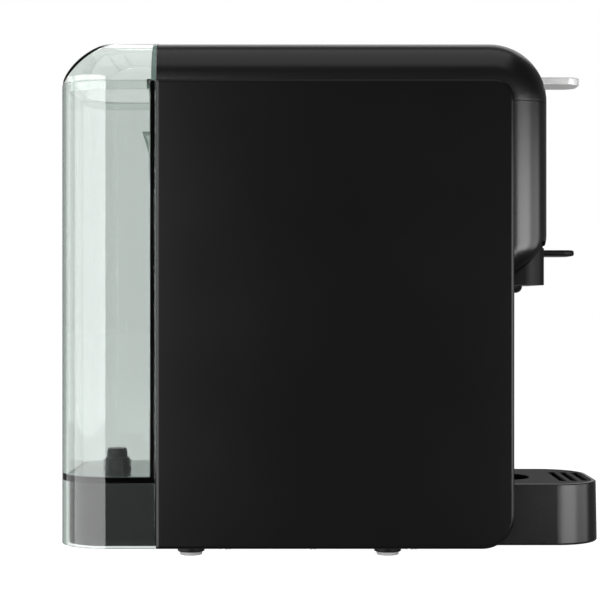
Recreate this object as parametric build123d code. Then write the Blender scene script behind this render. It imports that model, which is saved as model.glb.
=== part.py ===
"""Slim pod coffee machine, free-standing, in millimetres.

Frame: origin at the centre of the bounding box's bottom face, +X towards the cup side (front),
-Y the machine's left side, +Z up. Each function makes one sub-part in place.
"""
from build123d import *
import os
from math import cos, radians, sin

# ---- driving dimensions ----
# casing
TOP = 291.3            # highest point of the top cover
FRONT = 123.6          # front of the head
ARCH_R = 33.2          # radius where the top turns down into the front
CORE_HALF = 52.8       # half width of the core between the side panels
EDGE_R = 21.5          # rounding of the head's long edges
WALL = 2.5             # casing wall
SEAM = 256.7           # joint between top cover and fascia
REAR = -98.8           # rear end of the top cover

# side panels
PANEL_REAR = -99.0
PANEL_FRONT = 102.3
PANEL_BOTTOM = 4.8
PANEL_TOP = 268.5
PANEL_OUT = 56.0       # outer face of each panel
PANEL_GAP = 0.9        # shadow gap behind the panel's rim
PANEL_EDGE = 1.9       # rounded rim of the panel
PANEL_TOP_R = 12.0
PANEL_LOW_R = 18.0
CABLE_X = -82.0        # entry of the supply lead in the right panel
CABLE_Z = 20.0

# head below the fascia
BLOCK_BOTTOM = 153.0
BLOCK_FRONT = 122.2
BLOCK_HALF = 43.5
VISOR_R = 14.0         # rounding of the fascia's lower edge
NICHE_X = 60.0         # wall behind the cup
POD_X = 100.0          # common axis of pod, spout and grate hole

# tank
TANK_REAR = -155.2
TANK_FRONT = -99.4
TANK_HALF = 54.7
TANK_R = 28.0
TANK_WALL = 3.0
TANK_INNER_FRONT = -101.8
TANK_FLOOR = 41.4
TANK_TOP = 267.7
SKIRT_BOTTOM = 5.0
VALVE_X = -126.6
LID_FRONT = -99.1
LID_WALL = 2.6
POCKET_REAR = -111.2   # rear edge of the wedge pocket in the tank's front wall
POCKET_TOP = 244.0
POCKET_LOW = 213.0

# drip tray
TRAY_FRONT = 155.2
TRAY_HALF = 42.9
TRAY_R = 27.0
TRAY_BOTTOM = 5.0
TRAY_TOP = 39.7
GRATE_TOP = 39.5
GRATE_THICK = 2.4
GRATE_HOLE_R = 18.0
GRATE_SLOT_XS = (135.0, 141.7, 148.4)
GRATE_SLOT_LONG = (48.0, 46.0, 42.0)

# feet
FOOT_XS = (-79.9, 31.8)
FOOT_Y = 42.0
FOOT_R = 7.65

# fascia
VISOR_FRONT_Z = 174.6
VISOR_REAR_Z = 156.2
BUTTONS = {"power": (0.0, 213.0), "small_cup": (-18.0, 229.0), "large_cup": (18.0, 229.0)}
BUTTON_R = 6.0
LIGHT_YS = (-4.0, 4.0)
LIGHT_Z = 229.0
LIGHT_R = 1.1

# screws under the base
SCREW_XS = (-60.0, -12.0, 45.0)
SCREW_Y = 46.0

# lever
LEVER_X = FRONT - ARCH_R
LEVER_Z = TOP - ARCH_R
LEVER_HALF = 11.0
CRANK = 9.0            # crank throw
CRANK_START = -37.5    # crank angle with the lever closed, in degrees
FIT = 0.05             # radial running clearance of shafts
HOSE_Z = 14.0          # height of the suction hose under the tank


# ---- helpers ----
def block(x0, x1, y0, y1, z0, z1):
    """Box between two corners."""
    return Pos((x0 + x1) / 2, (y0 + y1) / 2, (z0 + z1) / 2) * Box(x1 - x0, y1 - y0, z1 - z0)


def post(x, y, z0, z1, r):
    """Upright cylinder."""
    return Pos(x, y, (z0 + z1) / 2) * Cylinder(r, z1 - z0)


def bar_y(x, z, y0, y1, r):
    """Cylinder along Y."""
    return Pos(x, (y0 + y1) / 2, z) * Rot(90, 0, 0) * Cylinder(r, y1 - y0)


def bar_x(x0, x1, y, z, r):
    """Cylinder along X."""
    return Pos((x0 + x1) / 2, y, z) * Rot(0, 90, 0) * Cylinder(r, x1 - x0)


def side_profile(y0, y1, *edges):
    """Solid between y0 and y1 from a closed outline drawn in the XZ plane."""
    face = make_face(edges)
    return extrude(Pos(0, y1, 0) * face, y1 - y0, dir=(0, -1, 0))


def xz(x, z):
    """Point of the centre plane."""
    return (x, 0, z)


def polygon(y0, y1, *points):
    """Prism along Y from straight-sided outline points (x, z)."""
    return side_profile(y0, y1, *Polyline(*[xz(*p) for p in points], close=True).edges())


def tank_plan(inset, z0, z1, front):
    """Tank-shaped prism: square at the front, two rounded corners at the rear."""
    half = TANK_HALF - inset
    solid = block(TANK_REAR + inset, front, -half, half, z0, z1)
    rear = solid.edges().filter_by(Axis.Z).group_by(Axis.X)[0]
    return fillet(rear, TANK_R - inset)


def pipe(points, r_bend, r_tube, r_hole):
    """Hose along straight runs joined by tangent arcs."""
    path = FilletPolyline(*points, radius=r_bend)
    start = Plane(origin=path @ 0, z_dir=path % 0)
    return sweep(start * (Circle(r_tube) - Circle(r_hole)), path=path)


def emit(name, shape):
    """Write one node's STEP file."""
    solids = shape.solids()
    shape = solids[0] if len(solids) == 1 else Compound(children=list(solids))
    shape.label = name
    export_step(shape, f"parts/{name}.step")


# ---- casing ----
def head_form(inset):
    """Head outline between the panels with both long edges rounded, moved in by inset."""
    r = ARCH_R - inset
    top, front = TOP - inset, FRONT - inset
    arch = ThreePointArc(
        xz(front, LEVER_Z),
        xz(LEVER_X + r * cos(radians(45)), LEVER_Z + r * sin(radians(45))),
        xz(LEVER_X, top),
    )
    rear = REAR - 10
    low = BLOCK_BOTTOM - 10
    half = CORE_HALF - inset
    solid = side_profile(
        -half, half,
        Line(xz(rear, low), xz(front, low)),
        Line(xz(front, low), xz(front, LEVER_Z)),
        arch,
        Line(xz(LEVER_X, top), xz(rear, top)),
        Line(xz(rear, top), xz(rear, low)),
    )
    rim = []
    for edge in solid.edges():
        middle = edge @ 0.5
        on_side = abs(abs(middle.Y) - half) < 0.01
        on_outline = middle.Z > top - 0.01 or middle.X > LEVER_X
        if on_side and on_outline and middle.Z > low + 0.01:
            rim.append(edge)
    return fillet(rim, EDGE_R - inset)


def lever_slot():
    """Space in the cover that the lever swings through."""
    return block(76.5, FRONT + 5, -LEVER_HALF - 0.5, LEVER_HALF + 0.5, 270.3, TOP + 5)


def top_cover():
    """Shell over the whole machine with the rounded front and the lever's slot."""
    shell = head_form(0) - head_form(WALL)
    keep = block(REAR, FRONT + 5, -60, 60, SEAM + 0.3, TOP + 5)
    end = block(REAR, REAR + WALL, -CORE_HALF, CORE_HALF, SEAM + 0.3, TOP) & head_form(0)
    return (shell & keep) + end - lever_slot()


def visor_form(inset):
    """Head front above a slanted underside whose edge is rounded, all moved in by inset."""
    run = FRONT - PANEL_FRONT
    slope = (VISOR_FRONT_Z - VISOR_REAR_Z) / run
    rise = inset * (1 + slope ** 2) ** 0.5
    front_z = VISOR_FRONT_Z + rise
    back_x = FRONT - 1.6 * run
    form = head_form(inset) & block(back_x, FRONT + 5, -60, 60, 130, SEAM + 5)
    form -= polygon(
        -60, 60, (back_x - 1, 100), (130, 100), (130, front_z + 6.4 * slope),
        (FRONT, front_z), (back_x - 1, front_z - (1.6 * run + 1) * slope),
    )
    slant = [f for f in form.faces() if f.normal_at(f.center()).Z < -0.5][0]
    low = [e for e in slant.edges() if (e @ 0.5).X > back_x + 0.1]
    return fillet(low, VISOR_R - inset)


def front_fascia():
    """Front shell of the head, from the seam down to the rounded visor edge."""
    body = visor_form(0) - visor_form(WALL)
    body &= block(62, FRONT + 5, -60, 60, 130, SEAM)
    side = block(62, 96, CORE_HALF - WALL, CORE_HALF, VISOR_REAR_Z, SEAM)
    body += side + mirror(side, Plane.XZ)
    body -= block(50, BLOCK_FRONT + 0.3, -BLOCK_HALF - 0.3, BLOCK_HALF + 0.3, 130, 178)
    body -= block(50, 95, -CORE_HALF + WALL, CORE_HALF - WALL, 130, SEAM + 1)
    for y, z in BUTTONS.values():
        body -= bar_x(FRONT - 6, FRONT + 1, y, z, BUTTON_R + 0.4)
    for y in LIGHT_YS:
        body -= bar_x(FRONT - 6, FRONT + 1, y, LIGHT_Z, LIGHT_R + 0.1)
    return body


def side_panel(side):
    """Flat outer panel: rounded rim, inset pad behind it that leaves a shadow gap."""
    outer = PANEL_OUT
    inner = CORE_HALF + PANEL_GAP
    plate = block(PANEL_REAR, PANEL_FRONT, inner, outer, PANEL_BOTTOM, PANEL_TOP)
    front = plate.edges().filter_by(Axis.Y).group_by(Axis.X)[-1].sort_by(Axis.Z)
    plate = fillet(front[-1], PANEL_TOP_R)
    front = plate.edges().filter_by(Axis.Y).group_by(Axis.X)[-1].sort_by(Axis.Z)
    plate = fillet(front[0], PANEL_LOW_R)
    rim = plate.faces().sort_by(Axis.Y)[-1].edges()
    plate = fillet(rim, PANEL_EDGE)
    inset = 2.0
    pad = block(PANEL_REAR + inset, PANEL_FRONT - inset, CORE_HALF, inner,
                PANEL_BOTTOM + inset, PANEL_TOP - inset)
    front = pad.edges().filter_by(Axis.Y).group_by(Axis.X)[-1]
    pad = fillet(front, PANEL_LOW_R - inset)
    panel = plate + pad
    if side > 0:
        panel -= bar_y(CABLE_X, CABLE_Z, CORE_HALF - 5, PANEL_OUT + 5, 7.0)
    return panel if side > 0 else mirror(panel, Plane.XZ)


def cable_gland():
    """Round bush, flush in the right panel, where the supply lead enters."""
    bush = bar_y(CABLE_X, CABLE_Z, CORE_HALF - 6, PANEL_OUT - 0.4, 6.9)
    collar = bar_y(CABLE_X, CABLE_Z, CORE_HALF - 6, CORE_HALF - 3.2, 9.0)
    hole = bar_y(CABLE_X, CABLE_Z, CORE_HALF - 10, PANEL_OUT + 1, 3.6)
    return bush + collar - hole


def base_plate():
    """Bottom chassis: a tray under the body, with a narrower tongue under the tank."""
    main = block(-97, NICHE_X, -CORE_HALF, CORE_HALF, PANEL_BOTTOM, 8.8)
    tongue = tank_plan(TANK_WALL + 1.2, PANEL_BOTTOM + 1.2, 8.8, -97)
    arms = block(NICHE_X, 84, 44, CORE_HALF, PANEL_BOTTOM, 8.8)
    arms += mirror(arms, Plane.XZ)
    plate = main + tongue + arms
    for x in (-52, -14, 8):
        plate += block(x - 1.2, x + 1.2, -40, 40, 8.8, 14)
    for x in SCREW_XS:
        for y in (-SCREW_Y, SCREW_Y):
            plate -= post(x, y, 0, 20, 1.8)
    return plate


def feet():
    """Four round foot discs."""
    group = []
    for x in FOOT_XS:
        for y in (-FOOT_Y, FOOT_Y):
            disc = post(x, y, 1.9, PANEL_BOTTOM, FOOT_R)
            group.append(fillet(disc.edges().sort_by(Axis.Z)[0], 0.6))
    return Compound(children=group)


def foot_pads():
    """Four softer pads, narrower than the discs they are glued under."""
    group = []
    for x in FOOT_XS:
        for y in (-FOOT_Y, FOOT_Y):
            pad = post(x, y, 0, 1.9, FOOT_R - 1.4)
            group.append(fillet(pad.edges().sort_by(Axis.Z)[0], 0.5))
    return Compound(children=group)


def front_column():
    """Wall behind the cup, standing on the base."""
    wall = block(NICHE_X - 2.5, NICHE_X, -CORE_HALF, CORE_HALF, 8.8, BLOCK_BOTTOM)
    wing = block(NICHE_X - 20, NICHE_X - 2.5, CORE_HALF - 2.5, CORE_HALF, 8.8, BLOCK_BOTTOM)
    return wall + wing + mirror(wing, Plane.XZ)


def niche_liner(side):
    """Inner cheek of the cup niche, behind the side panel."""
    cheek = block(NICHE_X, 98, CORE_HALF - 2.5, CORE_HALF, 37.2, 145)
    return cheek if side > 0 else mirror(cheek, Plane.XZ)


def inner_wall(side):
    """Structural side wall that the panel clips onto."""
    wall = block(-94.4, NICHE_X - 20, CORE_HALF - 2.5, CORE_HALF, 8.8, SEAM)
    for z in (60, 120, 180):
        wall += block(-90, 36, CORE_HALF - 5, CORE_HALF - 2.5, z - 1, z + 1)
    if side > 0:
        wall -= bar_y(CABLE_X, CABLE_Z, CORE_HALF - 8, CORE_HALF + 1, 7.0)
    return wall if side > 0 else mirror(wall, Plane.XZ)


def rear_wall():
    """Back of the body, which the tank stands against."""
    wall = block(-96.9, -94.4, -CORE_HALF, CORE_HALF, 8.8, SEAM)
    hook = block(-98.6, -96.9, -5, 5, 232, 243)
    return wall + hook - bar_x(-98, -93, 0, HOSE_Z, 3.0)


# ---- tank ----
def water_tank():
    """Clear tank: three outer walls run down as a skirt, with the chamber floor above the dock."""
    outer = tank_plan(0, SKIRT_BOTTOM, TANK_TOP, TANK_FRONT)
    front = outer.edges().filter_by(Axis.Z).group_by(Axis.X)[-1]
    outer = fillet(front, 0.6)
    bay = tank_plan(TANK_WALL, TANK_FLOOR + TANK_WALL, TANK_TOP + 1, TANK_INNER_FRONT)
    bay = fillet(bay.edges().filter_by(Axis.Z).group_by(Axis.X)[-1], 1.2)
    bay = fillet(bay.edges().group_by(Axis.Z)[0], 1.0)
    under = tank_plan(TANK_WALL, SKIRT_BOTTOM - 1, TANK_FLOOR, TANK_FRONT + 5)
    tank = outer - bay - under
    wedge = polygon(-6, 6, (TANK_INNER_FRONT, POCKET_TOP), (POCKET_REAR, POCKET_TOP),
                    (TANK_INNER_FRONT, POCKET_LOW))
    pocket = polygon(-4.4, 4.4, (TANK_FRONT + 0.1, POCKET_TOP - 1.6),
                     (POCKET_REAR + 1.6, POCKET_TOP - 1.6), (TANK_FRONT + 0.1, POCKET_LOW + 4.5))
    tank = tank + wedge - pocket
    tank -= post(VALVE_X, 0, TANK_FLOOR - 1, TANK_FLOOR + 5, 5.0)
    return tank


def lid_form(inset):
    """Lid outline in the centre plane: sloping arched rear, flat top, cut square at the front."""
    top = TOP - inset
    rear = TANK_REAR + 0.6 + inset
    low = TANK_TOP - 5
    half = TANK_HALF - 0.4 - inset
    along = 0.66 * inset
    down = 0.75 * inset
    eave = xz(rear, 269.0 - 0.4 * inset)
    haunch = xz(-143.0 + along, 281.2 - down)
    shoulder = xz(-130.6 + along, 289.4 - down)
    solid = side_profile(
        -half, half,
        Line(xz(LID_FRONT, low), xz(LID_FRONT, top)),
        Line(xz(LID_FRONT, top), xz(-120.0, top)),
        ThreePointArc(xz(-120.0, top), xz(-125.6 + 0.2 * inset, top - 0.45), shoulder),
        ThreePointArc(shoulder, haunch, eave),
        Line(eave, xz(rear, low)),
        Line(xz(rear, low), xz(LID_FRONT, low)),
    )
    return solid


def lid_solid(inset):
    """Lid block: the tank's plan with its upper rim rounded, cut by the arched outline."""
    plan = tank_plan(0.4 + inset, 200, TOP - inset, LID_FRONT)
    rims = plan.edges().group_by(Axis.Z)[-1].sort_by(Axis.X)[:-1]
    return fillet(rims, EDGE_R - inset) & lid_form(inset)


def tank_lid():
    """Lid shell with a lip that drops inside the tank."""
    shell = lid_solid(0) - lid_solid(LID_WALL)
    shell &= block(-170, -90, -70, 70, TANK_TOP + 0.3, 320)
    lip_out = tank_plan(TANK_WALL + 0.5, 263.4, TANK_TOP + 1.1, TANK_INNER_FRONT - 0.5)
    lip_in = tank_plan(TANK_WALL + 2.5, 260, TANK_TOP + 5, TANK_INNER_FRONT - 2.5)
    rim = tank_plan(0.4, TANK_TOP + 0.3, TANK_TOP + 1.1, LID_FRONT)
    wall = block(LID_FRONT - LID_WALL, LID_FRONT, -60, 60, TANK_TOP + 0.3, TOP) & lid_solid(0)
    return shell + wall + (lip_out + rim - lip_in)


def tank_valve_body():
    """Threaded valve insert in the tank floor: hex nut, ribbed cap, open in the middle."""
    z = TANK_FLOOR + TANK_WALL
    nut = Pos(VALVE_X, 0, z) * extrude(RegularPolygon(8.35, 6), 5.6)
    for groove in (1.4, 2.8, 4.2):
        nut -= post(VALVE_X, 0, z + groove, z + groove + 0.6, 12.0) - post(VALVE_X, 0, 0, 99, 7.3)
    cap = post(VALVE_X, 0, z + 5.6, z + 6.8, 7.2) + post(VALVE_X, 0, z + 6.8, z + 10.6, 6.0)
    stem = post(VALVE_X, 0, TANK_FLOOR - 5, z + 5.6, 4.9)
    flange = post(VALVE_X, 0, TANK_FLOOR - 5, TANK_FLOOR - 2.5, 8.0)
    hole = post(VALVE_X, 0, TANK_FLOOR - 3.0, z + 9.0, 3.4) + post(VALVE_X, 0, 0, TANK_FLOOR, 1.9)
    ports = block(VALVE_X - 8, VALVE_X + 8, -1.2, 1.2, z + 6.8, z + 8.8)
    return nut + cap + stem + flange - hole - ports


def valve_seal():
    """Flat rubber washer between the valve flange and the tank floor."""
    return post(VALVE_X, 0, TANK_FLOOR - 2.5, TANK_FLOOR, 8.0) - post(VALVE_X, 0, 0, 60, 4.9)


def valve_plunger():
    """Sprung poppet that the dock post lifts."""
    stem = post(VALVE_X, 0, TANK_FLOOR - 4.7, TANK_FLOOR + 5.0, 1.6)
    head = post(VALVE_X, 0, TANK_FLOOR - 2.7, TANK_FLOOR - 0.9, 3.0)
    return stem + head


def valve_spring():
    """Closing spring of the poppet, as a plain sleeve."""
    z0 = TANK_FLOOR - 0.9
    z1 = TANK_FLOOR + TANK_WALL + 9.0
    return post(VALVE_X, 0, z0, z1, 2.8) - post(VALVE_X, 0, z0 - 1, z1 + 1, 2.0)


def tank_filter():
    """Ribbed strainer cap on top of the valve."""
    z = TANK_FLOOR + TANK_WALL + 10.6
    return post(VALVE_X, 0, z, z + 1.6, 5.6)


def tank_dock():
    """Black plinth that fills the tank's skirt and carries the tank."""
    dock = tank_plan(TANK_WALL + 1.2, 8.8, TANK_FLOOR - 0.4, -97.0)
    return dock - post(VALVE_X, 0, 24, 60, 12.0) - block(VALVE_X - 4, -90, -4, 4, 0, 24)


def dock_post():
    """Post with a bore that lifts the valve poppet and takes the water."""
    tube = post(VALVE_X, 0, 24, TANK_FLOOR - 5.3, 2.6) - post(VALVE_X, 0, 20, 60, 1.2)
    flange = post(VALVE_X, 0, 24, 26, 11.9) - post(VALVE_X, 0, 20, 60, 2.6)
    return tube + flange


def dock_seal():
    """Lip seal round the dock post."""
    return post(VALVE_X, 0, 26, 30, 11.0) - post(VALVE_X, 0, 20, 60, 2.7)


# ---- brew group ----
def brew_base():
    """Block under the head with the pod drawer's channel."""
    body = block(70, BLOCK_FRONT, -BLOCK_HALF, BLOCK_HALF, BLOCK_BOTTOM, 178)
    front = body.edges().filter_by(Axis.Z).group_by(Axis.X)[-1]
    body = fillet(front, 12)
    channel = block(66, 130, -26, 26, 157.0, 174.0)
    nose = block(FRONT - WALL - 0.3, 130, -60, 60, VISOR_FRONT_Z - 0.4, 190)
    body -= nose
    above = post(POD_X, 0, 170, 190, 16.0)
    outlet = post(POD_X, 0, 150, 160, 3.0)
    roof = block(60, 130, -60, 60, 176.5, 200)
    return body - channel - above - outlet - roof


def spout():
    """Rounded outlet under the block."""
    disc = post(POD_X, 0, 148.7, BLOCK_BOTTOM, 14.0)
    disc = fillet(disc.edges().sort_by(Axis.Z)[0], 3.9)
    for y in (-4.0, 4.0):
        disc -= post(POD_X, y, 140, 160, 1.8)
    return disc


def pod_drawer():
    """Sliding pod holder with the pull tab on its front."""
    frame = block(72, BLOCK_FRONT, -25.6, 25.6, 157.4, 173.6)
    cup = post(POD_X, 0, 159.8, 180, 15.4)
    cone = post(POD_X, 0, 170.5, 180, 17.6)
    drain = post(POD_X, 0, 150, 162, 2.0)
    tab = block(BLOCK_FRONT, 143.3, -16, 16, 170.3, 173.7)
    tab = fillet(tab.edges().filter_by(Axis.Z).group_by(Axis.X)[-1], 7)
    tab = fillet(tab.faces().sort_by(Axis.X)[-1].edges().filter_by(Axis.Y), 1.2)
    return frame + tab - cup - cone - drain


def pod_plate():
    """Thin pierced plate in the bottom of the pod cup."""
    plate = post(POD_X, 0, 159.8, 160.8, 15.2)
    for ring_r, count in ((5.0, 6), (10.5, 12)):
        for k in range(count):
            a = 360 * k / count
            plate -= post(POD_X + ring_r * cos(radians(a)), ring_r * sin(radians(a)), 150, 170, 0.8)
    return plate - post(POD_X, 0, 150, 170, 0.8)


def brew_plunger():
    """Plunger over the pod, with its stem and the fork that the crank pin drives."""
    head = post(POD_X, 0, 175.2, 190, 15.0)
    groove = post(POD_X, 0, 179, 183, 16) - post(POD_X, 0, 178, 184, 13.4)
    stem = post(POD_X, 0, 190, 244, 4.5)
    z = crank_pin()[1]
    fork = block(95.6, 104.4, -3, 3, 240, z + 7.4)
    slot = block(90, 102.3, -5, 5, z - 2.9, z + 2.9)
    return head - groove + stem + fork - slot


def plunger_seal():
    """Rubber ring in the plunger's groove."""
    return post(POD_X, 0, 179, 183, 14.6) - post(POD_X, 0, 178, 184, 13.4)


def piercing_plate():
    """Steel plate with three short spikes under the plunger."""
    plate = post(POD_X, 0, 174.4, 175.2, 12.0)
    for k in range(3):
        a = radians(120 * k + 30)
        tip = post(POD_X + 7 * cos(a), 7 * sin(a), 173.75, 174.4, 1.0)
        plate += tip
    return plate


def brew_frame():
    """Steel bracket: a guide sleeve for the plunger and two cheeks that carry the lever shaft."""
    sleeve = post(POD_X, 0, 177, 204, 19.0) - post(POD_X, 0, 170, 210, 15.6)
    bridge = block(66, 110, -18, 18, 204, 207) - post(POD_X, 0, 200, 210, 4.8)
    cheek = block(78, 108, 13.0, 18.0, 207, 262)
    cheek += bar_y(LEVER_X, LEVER_Z, 13.0, 18.0, 9.0)
    cheeks = cheek + mirror(cheek, Plane.XZ)
    cheeks -= bar_y(LEVER_X, LEVER_Z, -30, 30, 6.0)
    legs = block(66, 70, -18, 18, 176.5, 204)
    feet_ = block(66, 119, -24, 24, 176.5, 178.5) - post(POD_X, 0, 170, 180, 15.6)
    return sleeve + bridge + cheeks + legs + feet_


def shaft_bushes():
    """Two plain bearings in the cheeks."""
    one = bar_y(LEVER_X, LEVER_Z, 13.0, 18.0, 6.0)
    pair = one + mirror(one, Plane.XZ)
    return pair - bar_y(LEVER_X, LEVER_Z, -30, 30, 4.0 + FIT)


# ---- lever ----
def crank_pin():
    """Centre of the crank pin with the lever closed."""
    a = radians(CRANK_START)
    return (LEVER_X + CRANK * cos(a), LEVER_Z + CRANK * sin(a))


def sector(r, y0, y1, a0, a1):
    """Pie-shaped prism about the lever axis, from angle a0 to a1 in degrees."""
    mid = (a0 + a1) / 2
    rim = [
        xz(LEVER_X + r * cos(radians(a)), LEVER_Z + r * sin(radians(a)))
        for a in (a0, mid, a1)
    ]
    centre = xz(LEVER_X, LEVER_Z)
    return side_profile(
        y0, y1, Line(centre, rim[0]), ThreePointArc(*rim), Line(rim[2], centre)
    )


def lever_handle():
    """Silver strip on the drum that runs out into the thumb tongue."""
    strip = sector(ARCH_R - 0.1, -LEVER_HALF, LEVER_HALF, 25, 110) - bar_y(
        LEVER_X, LEVER_Z, -20, 20, ARCH_R - 3.3)
    tongue = block(117.8, 147.2, -LEVER_HALF, LEVER_HALF, 270.9, 275.6)
    tongue = fillet(tongue.edges().filter_by(Axis.Z).group_by(Axis.X)[-1], 7.5)
    rims = [e for e in tongue.edges() if (e @ 0.5).X > 122 and abs((e % 0.5).Z) < 0.1]
    tongue = fillet(rims, 1.0)
    strip -= block(110, 130, -20, 20, 240, 270.9)
    return strip + tongue


def lever_drum():
    """Black drum sector under the strip: rim, two webs and hubs."""
    rim = sector(ARCH_R - 3.3, -LEVER_HALF, LEVER_HALF, -48, 110)
    rim -= bar_y(LEVER_X, LEVER_Z, -20, 20, ARCH_R - 6.0)
    web = sector(ARCH_R - 5.5, 8.6, LEVER_HALF, -48, 110)
    web += bar_y(LEVER_X, LEVER_Z, 8.6, LEVER_HALF + 1.0, 8.0)
    drum = rim + web + mirror(web, Plane.XZ)
    return drum - bar_y(LEVER_X, LEVER_Z, -30, 30, 4.0)


def lever_shaft():
    """Steel shaft with a head at each end."""
    return bar_y(LEVER_X, LEVER_Z, -19.5, 19.5, 4.0)


def crank():
    """Two crank cheeks on the shaft with the pin between them."""
    px, pz = crank_pin()
    cheek = bar_y(LEVER_X, LEVER_Z, 3.6, 6.8, 7.0) + bar_y(px, pz, 3.6, 6.8, 4.2)
    arm = Pos((LEVER_X + px) / 2, 5.2, (LEVER_Z + pz) / 2) * Rot(0, -CRANK_START, 0) * Box(
        CRANK, 3.2, 8.4)
    cheek += arm
    pin = bar_y(px, pz, -3.6, 3.6, 2.5)
    return cheek + mirror(cheek, Plane.XZ) + pin - bar_y(LEVER_X, LEVER_Z, -30, 30, 4.0)


# ---- drip tray ----
def tray_plan(inset, z0, z1, draft):
    """Tray-shaped prism with rounded front corners; draft leans the walls in, in degrees."""
    half = TRAY_HALF - inset
    outline = Pos((62.5 + inset + TRAY_FRONT - inset) / 2, 0, z0) * Rectangle(
        TRAY_FRONT - 62.5 - 2 * inset, 2 * half)
    front = outline.vertices().group_by(Axis.X)[-1]
    outline = fillet(front, TRAY_R - inset)
    return extrude(outline, z1 - z0, taper=draft)


def drip_tray():
    """Cup-shaped tray with ledges that run in the rails."""
    body = tray_plan(0, TRAY_BOTTOM, TRAY_TOP, 1.0)
    body = fillet(body.edges().group_by(Axis.Z)[0], 1.2)
    body = fillet(body.edges().group_by(Axis.Z)[-1], 0.8)
    body -= tray_plan(2.6, TRAY_BOTTOM + 2.2, TRAY_TOP + 5, 1.0)
    ledge = block(64, 91, TRAY_HALF - 1.6, TRAY_HALF + 3.0, 18.0, 20.2)
    seat = GRATE_TOP - GRATE_THICK - 0.05
    step = tray_plan(2.0, seat - 2.0, seat, 1.0) - tray_plan(5.4, 30, 40, 1.0)
    return body + ledge + mirror(ledge, Plane.XZ) + step


def drip_grate():
    """Plate with a drain hole and cross slots that lies on the tray's step."""
    plate = tray_plan(3.4, GRATE_TOP - GRATE_THICK, GRATE_TOP, 1.0)
    plate -= post(POD_X, 0, 30, 45, GRATE_HOLE_R)
    for x, length in zip(GRATE_SLOT_XS, GRATE_SLOT_LONG):
        plate -= Pos(x, 0, 37) * extrude(SlotOverall(length, 3.6, rotation=90), 10, both=True)
    plate = chamfer(plate.edges().group_by(Axis.Z)[-1], 0.45)
    return plate


def tray_rail(side):
    """Grooved rail between the tray and the side panel."""
    rail = block(NICHE_X, 93, TRAY_HALF + 0.7, CORE_HALF, 8.8, 37.2)
    rail -= block(NICHE_X - 1, 98.5, TRAY_HALF, TRAY_HALF + 3.5, 17.6, 20.6)
    return rail if side > 0 else mirror(rail, Plane.XZ)


# ---- internals ----
def pump_body():
    """Vibration pump: coil housing with a nose at each end."""
    coil = block(-30, 12, -20, 20, 30, 68)
    coil = fillet(coil.edges().filter_by(Axis.X), 4)
    ends = bar_x(-48, 34, 0, 49, 9.0)
    return coil + ends


def pump_mounts():
    """Two rubber rings that hold the pump's noses."""
    group = []
    for x in (-40, 24):
        ring = block(x - 4, x + 4, -14, 14, 34, 63) - bar_x(x - 5, x + 5, 0, 49, 9.0)
        group.append(ring)
    return Compound(children=group)


def pump_cradle():
    """Posts on the base under the rubber rings."""
    group = []
    for x in (-40, 24):
        group.append(block(x - 5, x + 5, -16, 16, 8.8, 34))
    return Compound(children=group)


def thermoblock():
    """Cast water heater with two tube stubs."""
    body = block(-62, 30, -30, -8, 110, 190)
    body = fillet(body.edges().filter_by(Axis.Y), 6)
    return body + bar_y(20, 180, -8, -2, 3.0) + bar_y(20, 120, -8, -2, 3.0)


def thermostats():
    """Two disc thermostats on the heater."""
    return Compound(children=[bar_y(-10, z, -8, -2, 8.0) for z in (130, 165)])


def heater_bracket():
    """Arm that ties the heater to the left structural wall."""
    return block(-20, -8, -(CORE_HALF - 5), -30, 140, 160)


def flow_housing():
    """Round two-port water meter body, hollow."""
    shell = post(-72, 20, 40, 54, 13) - post(-72, 20, 42, 52, 11)
    return shell + bar_x(-92, -84, 20, 47, 2.6) + post(-72, 20, 54, 60, 2.6)


def flow_impeller():
    """Vane wheel inside the meter."""
    wheel = post(-72, 20, 42.6, 51.4, 2.0)
    for k in range(6):
        blade = Pos(-72, 20, 47) * Rot(0, 0, 60 * k) * Pos(5.5, 0, 0) * Box(9.0, 1.0, 7.0)
        wheel += blade
    return wheel


def meter_bracket():
    """Post that carries the meter."""
    return post(-72, 20, 8.8, 40, 8.0)


def control_board():
    """Circuit board with its main parts."""
    board = block(-60, 30, 40, 41.6, 100, 180)
    relay = block(-50, -34, 30, 40, 150, 172)
    sink = block(-20, 4, 34, 40, 130, 160)
    plug = block(10, 26, 34, 40, 104, 112)
    return board + relay + sink + plug


def board_posts():
    """Four stand-offs between the board and the right wall."""
    group = [bar_y(x, z, 41.6, CORE_HALF - 2.5, 3.0) for x in (-54, 24) for z in (106, 174)]
    return Compound(children=group)


def button(y, z):
    """Round push button, flush with the fascia."""
    cap = bar_x(FRONT - 5.2, FRONT - 0.1, y, z, BUTTON_R)
    cap = fillet(cap.edges().sort_by(Axis.X)[-1], 0.7)
    return cap + bar_x(FRONT - 5.2, FRONT - 4.0, y, z, BUTTON_R + 1.0)


def button_board():
    """Small board behind the buttons."""
    return block(112.4, 113.6, -26, 26, 207.6, 236)


def switches():
    """Three tact switches that the buttons press."""
    boxes = [block(113.6, 116.2, y - 3, y + 3, z - 3, z + 3) for y, z in BUTTONS.values()]
    return Compound(children=boxes)


def indicator_lenses():
    """Two small light pipes between the upper buttons."""
    group = [bar_x(FRONT - 4.5, FRONT - 0.1, y, LIGHT_Z, LIGHT_R) for y in LIGHT_YS]
    return Compound(children=group)


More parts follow.
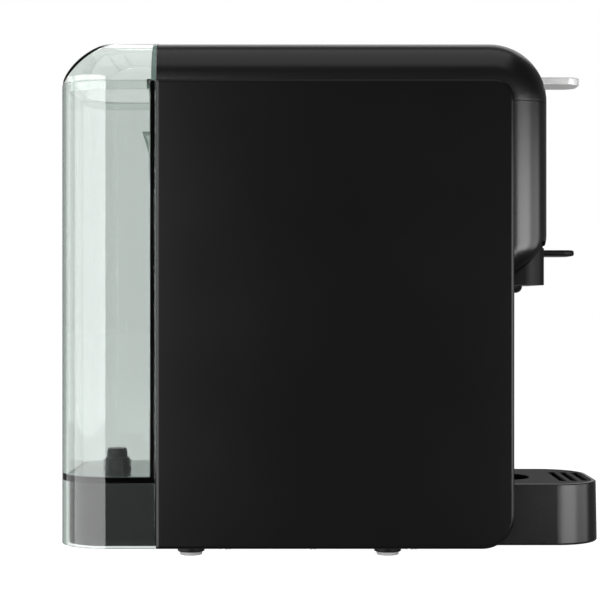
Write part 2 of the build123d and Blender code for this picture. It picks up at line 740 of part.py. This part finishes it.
def hoses():
    """Suction hose to the meter, pressure hose to the heater and hot-water hose to the brew group."""
    suction = [(VALVE_X, 0, 24), (VALVE_X, 0, HOSE_Z), (-88, 0, HOSE_Z), (-88, 20, HOSE_Z), (-88, 20, 44.4)]
    pressure = [(34, 0, 49), (50, 0, 49), (50, 14, 120), (20, 14, 120), (20, -2, 120)]
    hot = [(20, -2, 180), (20, 14, 180), (48, 14, 190), (66, 14, 190)]
    runs = [pipe(suction, 4.9, 2.5, 1.5), pipe(pressure, 7.0, 2.5, 1.5), pipe(hot, 7.0, 2.5, 1.5)]
    return Compound(children=[solid for run in runs for solid in run.solids()])


def case_screws():
    """Six screws through the base into the casing."""
    group = []
    for x in SCREW_XS:
        for y in (-SCREW_Y, SCREW_Y):
            head = post(x, y, PANEL_BOTTOM - 1.2, PANEL_BOTTOM, 3.2)
            head -= block(x - 2.4, x + 2.4, y - 0.4, y + 0.4, 0, PANEL_BOTTOM - 0.6)
            group.append(head + post(x, y, PANEL_BOTTOM, 12, 1.7))
    return Compound(children=group)


PARTS = {
    "base_plate": base_plate, "feet": feet, "foot_pads": foot_pads,
    "top_cover": top_cover, "front_fascia": front_fascia, "front_column": front_column,
    "rear_wall": rear_wall, "cable_gland": cable_gland,
    "water_tank": water_tank, "tank_lid": tank_lid, "tank_valve_body": tank_valve_body,
    "valve_seal": valve_seal, "valve_plunger": valve_plunger, "valve_spring": valve_spring,
    "tank_filter": tank_filter, "tank_dock": tank_dock, "dock_post": dock_post,
    "dock_seal": dock_seal, "brew_base": brew_base, "spout": spout,
    "pod_drawer": pod_drawer, "pod_plate": pod_plate, "brew_plunger": brew_plunger,
    "plunger_seal": plunger_seal, "piercing_plate": piercing_plate, "brew_frame": brew_frame,
    "shaft_bushes": shaft_bushes, "lever_handle": lever_handle, "lever_drum": lever_drum,
    "lever_shaft": lever_shaft, "crank": crank, "drip_tray": drip_tray,
    "drip_grate": drip_grate, "pump_body": pump_body, "pump_mounts": pump_mounts,
    "pump_cradle": pump_cradle, "thermoblock": thermoblock, "thermostats": thermostats,
    "heater_bracket": heater_bracket, "flow_housing": flow_housing,
    "flow_impeller": flow_impeller, "meter_bracket": meter_bracket,
    "control_board": control_board, "board_posts": board_posts,
    "button_board": button_board, "switches": switches,
    "indicator_lenses": indicator_lenses, "case_screws": case_screws, "hoses": hoses,
}

os.makedirs("parts", exist_ok=True)
for node, make in PARTS.items():
    emit(node, make())
for label, side in (("left", -1), ("right", 1)):
    emit(f"{label}_side_panel", side_panel(side))
    emit(f"{label}_inner_wall", inner_wall(side))
    emit(f"{label}_niche_liner", niche_liner(side))
    emit(f"{label}_tray_rail", tray_rail(side))
for label, (y, z) in BUTTONS.items():
    emit(f"{label}_button", button(y, z))
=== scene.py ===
"""Looks for the slim pod coffee machine: finishes for every node, the small surface pieces that the
CAD leaves out, and a plain studio. Metres, in the CAD's own frame: +X front, +Z up, and -Y the side
towards the camera, which is the left one for somebody standing in front of the machine.
"""
import bpy
import numpy as np
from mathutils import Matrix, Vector


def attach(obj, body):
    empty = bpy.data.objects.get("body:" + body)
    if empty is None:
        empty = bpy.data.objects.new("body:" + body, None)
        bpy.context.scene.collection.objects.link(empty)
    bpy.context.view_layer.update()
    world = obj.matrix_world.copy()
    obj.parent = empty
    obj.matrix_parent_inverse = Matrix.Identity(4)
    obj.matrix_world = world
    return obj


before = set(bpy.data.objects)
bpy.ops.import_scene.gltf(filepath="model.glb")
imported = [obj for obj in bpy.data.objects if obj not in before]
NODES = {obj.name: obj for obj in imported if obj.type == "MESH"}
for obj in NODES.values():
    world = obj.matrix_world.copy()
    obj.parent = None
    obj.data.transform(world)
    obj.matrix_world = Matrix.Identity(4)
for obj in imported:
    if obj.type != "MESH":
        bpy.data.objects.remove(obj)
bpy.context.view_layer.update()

LENS = 96.0                             # focal length in mm
SENSOR = 36.0                           # sensor width in mm
CAMERA_AT = (-0.018, -0.952, 0.1445)
CLIP_NEAR = 0.05
CLIP_FAR = 60.0
FLOOR_HALF = 6.0                        # half width of the floor
NOISE_LOW = 0.3                         # a noise factor lies mostly between these two
NOISE_HIGH = 0.7

# the room as gloss sees it: Y part of the direction, brightness
ROOM = ((0.0, 0.05), (0.3, 0.12), (0.85, 0.15), (0.97, 0.6))

# soft lights: name, centre, point it faces, width, height, brightness of its face
SOFTBOXES = (
    ("left_box", (-0.715, -0.60, 0.125), (0.071, 0.014, 0.125), 1.36, 0.75, 5.5),
    ("left_rear_box", (-1.083, 0.237, 0.125), (-0.127, -0.055, 0.125), 0.6, 0.75, 1.8),
    ("right_box", (0.69, -0.75, 0.10), (0.081, 0.043, 0.10), 0.70, 0.46, 7.5),
    ("right_rear_box", (1.03, -0.23, 0.10), (0.05, -0.03, 0.10), 0.62, 0.46, 3.0),
    ("far_box", (0.2, 1.3, 1.25), (0.0, 0.0, 0.15), 1.6, 0.7, 1.0),
    ("top_box", (0.0, -0.5, 1.55), (0.0, -0.5, 0.15), 1.6, 1.8, 0.75),
)


# ---------------------------------------------------------------- camera
def place_camera():
    """Level camera beside the machine, looking straight across it."""
    camera_data = bpy.data.cameras.new("camera")
    camera_data.lens = LENS
    camera_data.sensor_width = SENSOR
    camera_data.clip_start = CLIP_NEAR
    camera_data.clip_end = CLIP_FAR
    camera = bpy.data.objects.new("camera", camera_data)
    bpy.context.scene.collection.objects.link(camera)
    camera.location = CAMERA_AT
    camera.rotation_euler = (np.pi / 2, 0.0, 0.0)
    bpy.context.scene.camera = camera


# ---------------------------------------------------------------- node helpers
class Finish:
    """A new material with its Principled shader and short helpers for the nodes that feed it."""

    def __init__(self, name):
        self.material = bpy.data.materials.new(name)
        self.material.use_nodes = True
        self.tree = self.material.node_tree
        self.shader = self.tree.nodes["Principled BSDF"]
        self.output = self.tree.nodes["Material Output"]
        coords = self.tree.nodes.new("ShaderNodeTexCoord")
        self.coords = coords.outputs["Object"]

    def set(self, **values):
        """Sets sockets of the Principled shader; an underscore in a name stands for a space."""
        for name, value in values.items():
            self.shader.inputs[name.replace("_", " ")].default_value = value
        return self

    def stretched(self, sx, sy, sz):
        """Object coordinates scaled along each axis."""
        node = self.tree.nodes.new("ShaderNodeMapping")
        node.inputs["Scale"].default_value = (sx, sy, sz)
        self.tree.links.new(self.coords, node.inputs["Vector"])
        return node.outputs["Vector"]

    def noise(self, scale, detail=2.0, vector=None, rough=0.5):
        """Noise texture's factor on Object coordinates."""
        node = self.tree.nodes.new("ShaderNodeTexNoise")
        node.inputs["Scale"].default_value = scale
        node.inputs["Detail"].default_value = detail
        node.inputs["Roughness"].default_value = rough
        self.tree.links.new(vector or self.coords, node.inputs["Vector"])
        return node.outputs["Fac"]

    def span(self, factor, low, high):
        """Maps a noise factor onto the range low to high."""
        node = self.tree.nodes.new("ShaderNodeMapRange")
        node.inputs["From Min"].default_value = NOISE_LOW
        node.inputs["From Max"].default_value = NOISE_HIGH
        node.inputs["To Min"].default_value = low
        node.inputs["To Max"].default_value = high
        self.tree.links.new(factor, node.inputs["Value"])
        return node.outputs["Result"]

    def shades(self, factor, dark, light):
        """Colour between dark and light by a noise factor."""
        node = self.tree.nodes.new("ShaderNodeValToRGB")
        node.color_ramp.elements[0].position = NOISE_LOW
        node.color_ramp.elements[0].color = (*dark, 1.0)
        node.color_ramp.elements[1].position = NOISE_HIGH
        node.color_ramp.elements[1].color = (*light, 1.0)
        self.tree.links.new(factor, node.inputs["Fac"])
        return node.outputs["Color"]

    def feed(self, output, name):
        """Links an output to one socket of the Principled shader."""
        self.tree.links.new(output, self.shader.inputs[name])
        return self

    def bump(self, height, depth, strength):
        """Surface relief of the given depth in metres."""
        node = self.tree.nodes.new("ShaderNodeBump")
        node.inputs["Strength"].default_value = strength
        node.inputs["Distance"].default_value = depth
        self.tree.links.new(height, node.inputs["Height"])
        self.tree.links.new(node.outputs["Normal"], self.shader.inputs["Normal"])
        return self


# ---------------------------------------------------------------- finishes
def moulded(name, shade, roughness, grain=2600.0, depth=0.00001, spread=0.06, level=0.5):
    """Moulded plastic: spark-eroded grain, slow gloss changes and faint shade changes."""
    finish = Finish(name).set(IOR=1.5, Specular_IOR_Level=level)
    slow = finish.noise(14.0, 3.0)
    fine = finish.noise(grain, 2.0)
    dark = tuple(c * 0.85 for c in shade)
    light = tuple(c * 1.2 for c in shade)
    finish.feed(finish.shades(fine, dark, light), "Base Color")
    finish.feed(finish.span(slow, roughness - spread, roughness + spread), "Roughness")
    return finish.bump(fine, depth, 0.5).material


def clear_tint(name, tint, density, roughness, skin=(1.0, 1.0, 1.0)):
    """Tinted clear plastic: light loses colour with the thickness it crosses, and a little at its skin."""
    finish = Finish(name).set(IOR=1.49, Base_Color=(*skin, 1.0), Transmission_Weight=1.0)
    slow = finish.noise(35.0, 2.0)
    finish.feed(finish.span(slow, roughness * 0.6, roughness * 1.6), "Roughness")
    finish.bump(finish.noise(18.0, 1.0), 0.00004, 0.35)
    absorb = finish.tree.nodes.new("ShaderNodeVolumeAbsorption")
    absorb.inputs["Color"].default_value = (*tint, 1.0)
    absorb.inputs["Density"].default_value = density
    finish.tree.links.new(absorb.outputs["Volume"], finish.output.inputs["Volume"])
    return finish.material


def silver_paint(name, shade, roughness):
    """Silver paint with fine flakes under a satin lacquer."""
    finish = Finish(name).set(Metallic=0.35, IOR=1.5)
    flakes = finish.noise(3200.0, 2.0)
    dark = tuple(c * 0.9 for c in shade)
    finish.feed(finish.shades(flakes, dark, shade), "Base Color")
    slow = finish.noise(40.0, 3.0)
    finish.feed(finish.span(slow, roughness - 0.05, roughness + 0.05), "Roughness")
    return finish.bump(flakes, 0.000012, 0.4).material


def brushed_metal(name, shade, roughness, along):
    """Metal with fine drawn lines along one axis."""
    finish = Finish(name).set(Metallic=1.0, Anisotropic=0.4)
    scale = {"Y": (2500, 40, 2500), "Z": (2500, 2500, 40)}[along]
    lines = finish.noise(1.0, 3.0, finish.stretched(*scale))
    dark = tuple(c * 0.8 for c in shade)
    finish.feed(finish.shades(lines, dark, shade), "Base Color")
    finish.feed(finish.span(lines, roughness - 0.08, roughness + 0.08), "Roughness")
    return finish.bump(lines, 0.000008, 0.5).material


def cast_metal(name, shade):
    """Sand-cast light alloy with a pebbly skin."""
    finish = Finish(name).set(Metallic=1.0)
    pebbles = finish.noise(700.0, 4.0, rough=0.65)
    dark = tuple(c * 0.6 for c in shade)
    finish.feed(finish.shades(pebbles, dark, shade), "Base Color")
    finish.feed(finish.span(pebbles, 0.42, 0.62), "Roughness")
    return finish.bump(pebbles, 0.00012, 0.6).material


def soft_rubber(name, shade):
    """Matt rubber with a dusty, uneven sheen."""
    finish = Finish(name).set(IOR=1.5, Sheen_Weight=0.15, Sheen_Roughness=0.5)
    fine = finish.noise(1400.0, 3.0)
    light = tuple(min(1.0, c * 1.35) for c in shade)
    finish.feed(finish.shades(finish.noise(60.0, 3.0), shade, light), "Base Color")
    finish.feed(finish.span(fine, 0.62, 0.85), "Roughness")
    return finish.bump(fine, 0.00003, 0.5).material


def circuit_board(name):
    """Green lacquered board with copper tracks under the lacquer."""
    finish = Finish(name).set(IOR=1.5, Coat_Weight=0.6)
    cells = finish.tree.nodes.new("ShaderNodeTexBrick")
    cells.inputs["Scale"].default_value = 260.0
    cells.inputs["Color1"].default_value = (0.012, 0.11, 0.045, 1.0)
    cells.inputs["Color2"].default_value = (0.02, 0.15, 0.06, 1.0)
    cells.inputs["Mortar"].default_value = (0.05, 0.2, 0.07, 1.0)
    finish.tree.links.new(finish.coords, cells.inputs["Vector"])
    finish.feed(cells.outputs["Color"], "Base Color")
    finish.feed(finish.span(finish.noise(300.0), 0.25, 0.45), "Roughness")
    return finish.bump(cells.outputs["Fac"], 0.00003, 0.4).material


def dress_nodes():
    """Gives each CAD node the finish that the real piece has."""
    panel = moulded("satin_panel", (0.0035, 0.0035, 0.0036), 0.24, 2400.0, 0.000005, 0.02, 0.2)
    casing = moulded("satin_casing", (0.0030, 0.0030, 0.0031), 0.26, 2600.0, 0.000006, 0.02)
    tray = moulded("satin_tray", (0.0030, 0.0030, 0.0031), 0.26, 2600.0, 0.000006, 0.02, 0.4)
    grate = moulded("satin_grate", (0.0060, 0.0060, 0.0062), 0.55, 2600.0, 0.000006, 0.02, 0.2)
    inner = moulded("inner_moulding", (0.004, 0.004, 0.0042), 0.4, 1500.0, 0.00002, level=0.12)
    dock = moulded("dock_moulding", (0.0015, 0.0018, 0.0016), 0.45, 1500.0, 0.00002, level=0.05)
    gloss = moulded("gloss_button", (0.004, 0.004, 0.0042), 0.16, 3000.0, 0.000004, 0.03)
    valve = moulded("valve_moulding", (0.003, 0.006, 0.006), 0.32, 1800.0, 0.00002, level=0.3)
    bone = moulded("bone_moulding", (0.52, 0.5, 0.45), 0.42, 1500.0, 0.00002)
    lens = moulded("frosted_lens", (0.7, 0.74, 0.76), 0.3, 3000.0, 0.000005, 0.03)
    brown = moulded("brown_moulding", (0.03, 0.017, 0.012), 0.4, 1500.0, 0.00002)
    smoke = clear_tint("smoke_clear", (0.04, 0.20, 0.13), 105.0, 0.015, (0.96, 0.965, 0.962))
    pale_smoke = clear_tint("pale_smoke", (0.05, 0.23, 0.17), 18.0, 0.015, (0.87, 0.90, 0.88))
    hose = clear_tint("hose_clear", (0.8, 0.88, 0.88), 30.0, 0.25)
    silver = silver_paint("silver_handle", (0.80, 0.80, 0.795), 0.32)
    steel = brushed_metal("brushed_steel", (0.56, 0.56, 0.57), 0.32, "Z")
    brass = brushed_metal("turned_brass", (0.78, 0.56, 0.25), 0.28, "Y")
    alloy = cast_metal("cast_alloy", (0.62, 0.62, 0.63))
    black_rubber = soft_rubber("black_rubber", (0.012, 0.012, 0.012))
    grey_rubber = soft_rubber("grey_rubber", (0.25, 0.25, 0.25))
    board = circuit_board("board_lacquer")
    groups = {
        panel: "left_side_panel right_side_panel",
        casing: "top_cover front_fascia",
        tray: "drip_tray",
        grate: "drip_grate",
        inner: "base_plate front_column rear_wall brew_base spout left_inner_wall "
               "right_inner_wall left_niche_liner right_niche_liner left_tray_rail right_tray_rail "
               "feet lever_drum pod_drawer dock_post pump_cradle meter_bracket heater_bracket "
               "board_posts",
        dock: "tank_dock",
        gloss: "power_button small_cup_button large_cup_button switches",
        valve: "tank_valve_body valve_plunger tank_filter",
        bone: "pump_body flow_housing flow_impeller brew_plunger",
        lens: "indicator_lenses",
        brown: "thermostats",
        smoke: "water_tank",
        pale_smoke: "tank_lid",
        hose: "hoses",
        silver: "lever_handle",
        steel: "brew_frame lever_shaft crank piercing_plate pod_plate case_screws valve_spring",
        brass: "shaft_bushes",
        alloy: "thermoblock",
        black_rubber: "cable_gland dock_seal valve_seal plunger_seal pump_mounts",
        grey_rubber: "foot_pads",
        board: "control_board button_board",
    }
    for material, names in groups.items():
        for name in names.split():
            mesh = NODES[name].data
            mesh.materials.clear()
            mesh.materials.append(material)


# ---------------------------------------------------------------- button marks
BUTTON_FACE = 0.1235      # X of the button faces
LINE_HALF = 0.00024       # half width of a raised line
LINE_RISE = 0.00006       # its height over the face
LINE_AROUND = 10          # points around a raised line
POWER_AT = (0.0, 0.213)   # button centres, Y and Z
SMALL_AT = (-0.018, 0.229)
LARGE_AT = (0.018, 0.229)
RING_RADIUS = 0.0026
STROKE_LOW = 0.0012       # the stroke's ends, over the ring's centre
STROKE_HIGH = 0.0036

# cups: size, centre, width, height, radius of the grip, its height over the centre
CUPS = (
    ("small", SMALL_AT, 0.0036, 0.0030, 0.0010, 0.0003),
    ("large", LARGE_AT, 0.0048, 0.0046, 0.0013, 0.0006),
)


def arc_path(centre, radius, start, end, count):
    """Points (y, z) on a circle: centre + radius * (cos a, sin a), a in degrees."""
    a = np.radians(np.linspace(start, end, count))
    return np.stack([centre[0] + radius * np.cos(a), centre[1] + radius * np.sin(a)], axis=1)


def cup_path(centre, width, height):
    """Cup outline (y, z): y = w/2 * sgn(t) * (1 - (1-|t|)**3), z = h * |t|**3 - h/2, t in -1 to 1."""
    t = np.linspace(-1.0, 1.0, 31)
    y = 0.5 * width * np.sign(t) * (1.0 - (1.0 - np.abs(t)) ** 3)
    z = height * np.abs(t) ** 3 - 0.5 * height
    return np.stack([centre[0] + y, centre[1] + z], axis=1)


def raised_line(name, path, body, material):
    """Raised line on a button face, an oval carried along a path p(u) in the face's plane.

    Point (u, v) = p(u) + half * cos v * side(u), x = face + rise * sin v; both ends are capped.
    """
    around = LINE_AROUND
    v = np.linspace(0.0, 2.0 * np.pi, around, endpoint=False)
    run = np.gradient(path, axis=0)
    run /= np.linalg.norm(run, axis=1)[:, None]
    side = np.stack([-run[:, 1], run[:, 0]], axis=1)
    flat = path[:, None, :] + LINE_HALF * np.cos(v)[None, :, None] * side[:, None, :]
    x = np.broadcast_to(BUTTON_FACE + LINE_RISE * np.sin(v), flat.shape[:2])
    points = np.concatenate([x[..., None], flat], axis=2).reshape(-1, 3)
    row = np.arange(len(path) - 1)[:, None] * around
    col = np.arange(around)[None, :]
    after = (col + 1) % around
    quads = np.stack([row + col, row + around + col, row + around + after, row + after], axis=2)
    start = list(range(around))
    end = [len(points) - around + k for k in range(around)][::-1]
    faces = quads.reshape(-1, 4).tolist() + [start, end]
    mesh = bpy.data.meshes.new(name)
    mesh.from_pydata(points.tolist(), [], faces)
    mesh.update()
    mesh.shade_smooth()
    mesh.materials.append(material)
    piece = bpy.data.objects.new(name, mesh)
    bpy.context.scene.collection.objects.link(piece)
    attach(piece, body)


def button_marks():
    """Plain pictograms: a ring open at the top with a stroke in the gap, a small cup, a large cup."""
    paint = moulded("mark_paint", (0.62, 0.62, 0.6), 0.45, 3000.0, 0.000003)
    ring = arc_path(POWER_AT, RING_RADIUS, 125, 415, 40)
    raised_line("power_ring", ring, "power_button", paint)
    y, z = POWER_AT
    stroke = np.linspace((y, z + STROKE_LOW), (y, z + STROKE_HIGH), 6)
    raised_line("power_stroke", stroke, "power_button", paint)
    for size, centre, width, height, grip_radius, grip_up in CUPS:
        button = f"{size}_cup_button"
        raised_line(f"{size}_cup_line", cup_path(centre, width, height), button, paint)
        middle = (centre[0] + width / 2, centre[1] + grip_up)
        raised_line(f"{size}_cup_grip", arc_path(middle, grip_radius, -90, 90, 14), button, paint)


# ---------------------------------------------------------------- studio
def softbox(name, centre, aim, width, height, radiance):
    """Rectangular soft light whose face has the given brightness."""
    lamp = bpy.data.lights.new(name, "AREA")
    lamp.shape = "RECTANGLE"
    lamp.size = width
    lamp.size_y = height
    lamp.energy = radiance * np.pi * width * height
    holder = bpy.data.objects.new(name, lamp)
    bpy.context.scene.collection.objects.link(holder)
    holder.location = centre
    holder.rotation_euler = (Vector(aim) - Vector(centre)).to_track_quat("-Z", "Y").to_euler()


def studio():
    """Seamless pale floor and backdrop, a dark room behind the viewer, and the soft boxes."""
    size = FLOOR_HALF
    mesh = bpy.data.meshes.new("floor")
    corners = [(-size, -size, 0), (size, -size, 0), (size, size, 0), (-size, size, 0)]
    mesh.from_pydata(corners, [], [(0, 1, 2, 3)])
    floor = bpy.data.objects.new("floor", mesh)
    bpy.context.scene.collection.objects.link(floor)
    pale = Finish("pale_floor").set(Roughness=0.8, IOR=1.1, Emission_Strength=1.0)
    pale.set(Emission_Color=(1.0, 1.0, 1.0, 1.0))
    patches = pale.noise(3.0, 2.0)
    pale.feed(pale.shades(patches, (0.20, 0.20, 0.20), (0.21, 0.21, 0.21)), "Base Color")
    mesh.materials.append(pale.material)
    floor.visible_glossy = False
    floor.visible_diffuse = False
    floor.visible_shadow = False

    world = bpy.data.worlds.new("studio")
    bpy.context.scene.world = world
    world.use_nodes = True
    tree = world.node_tree
    room = tree.nodes["Background"]
    room.inputs["Color"].default_value = (1.0, 1.0, 1.0, 1.0)
    white = tree.nodes.new("ShaderNodeBackground")
    white.inputs["Strength"].default_value = 1.0
    white.inputs["Color"].default_value = (1.0, 1.0, 1.0, 1.0)
    # the room goes from dark on the near side to a bright backdrop on the far side
    way = tree.nodes.new("ShaderNodeTexCoord")
    parts = tree.nodes.new("ShaderNodeSeparateXYZ")
    fade = tree.nodes.new("ShaderNodeValToRGB")
    fade.color_ramp.elements.new(0.5)
    fade.color_ramp.elements.new(0.6)
    for element, (place, level) in zip(fade.color_ramp.elements, ROOM):
        element.position = place
        element.color = (level, level, level, 1.0)
    tree.links.new(way.outputs["Generated"], parts.inputs[0])
    tree.links.new(parts.outputs["Y"], fade.inputs["Fac"])
    tree.links.new(fade.outputs["Color"], room.inputs["Strength"])
    rays = tree.nodes.new("ShaderNodeLightPath")
    seen = tree.nodes.new("ShaderNodeMath")
    seen.operation = "MAXIMUM"
    mix = tree.nodes.new("ShaderNodeMixShader")
    tree.links.new(rays.outputs["Is Camera Ray"], seen.inputs[0])
    tree.links.new(rays.outputs["Is Transmission Ray"], seen.inputs[1])
    tree.links.new(seen.outputs[0], mix.inputs["Fac"])
    tree.links.new(room.outputs[0], mix.inputs[1])
    tree.links.new(white.outputs[0], mix.inputs[2])
    tree.links.new(mix.outputs[0], tree.nodes["World Output"].inputs["Surface"])

    for box in SOFTBOXES:
        softbox(*box)
    view = bpy.context.scene.view_settings
    view.view_transform = "Standard"
    view.look = "None"


place_camera()
dress_nodes()
button_marks()
studio()
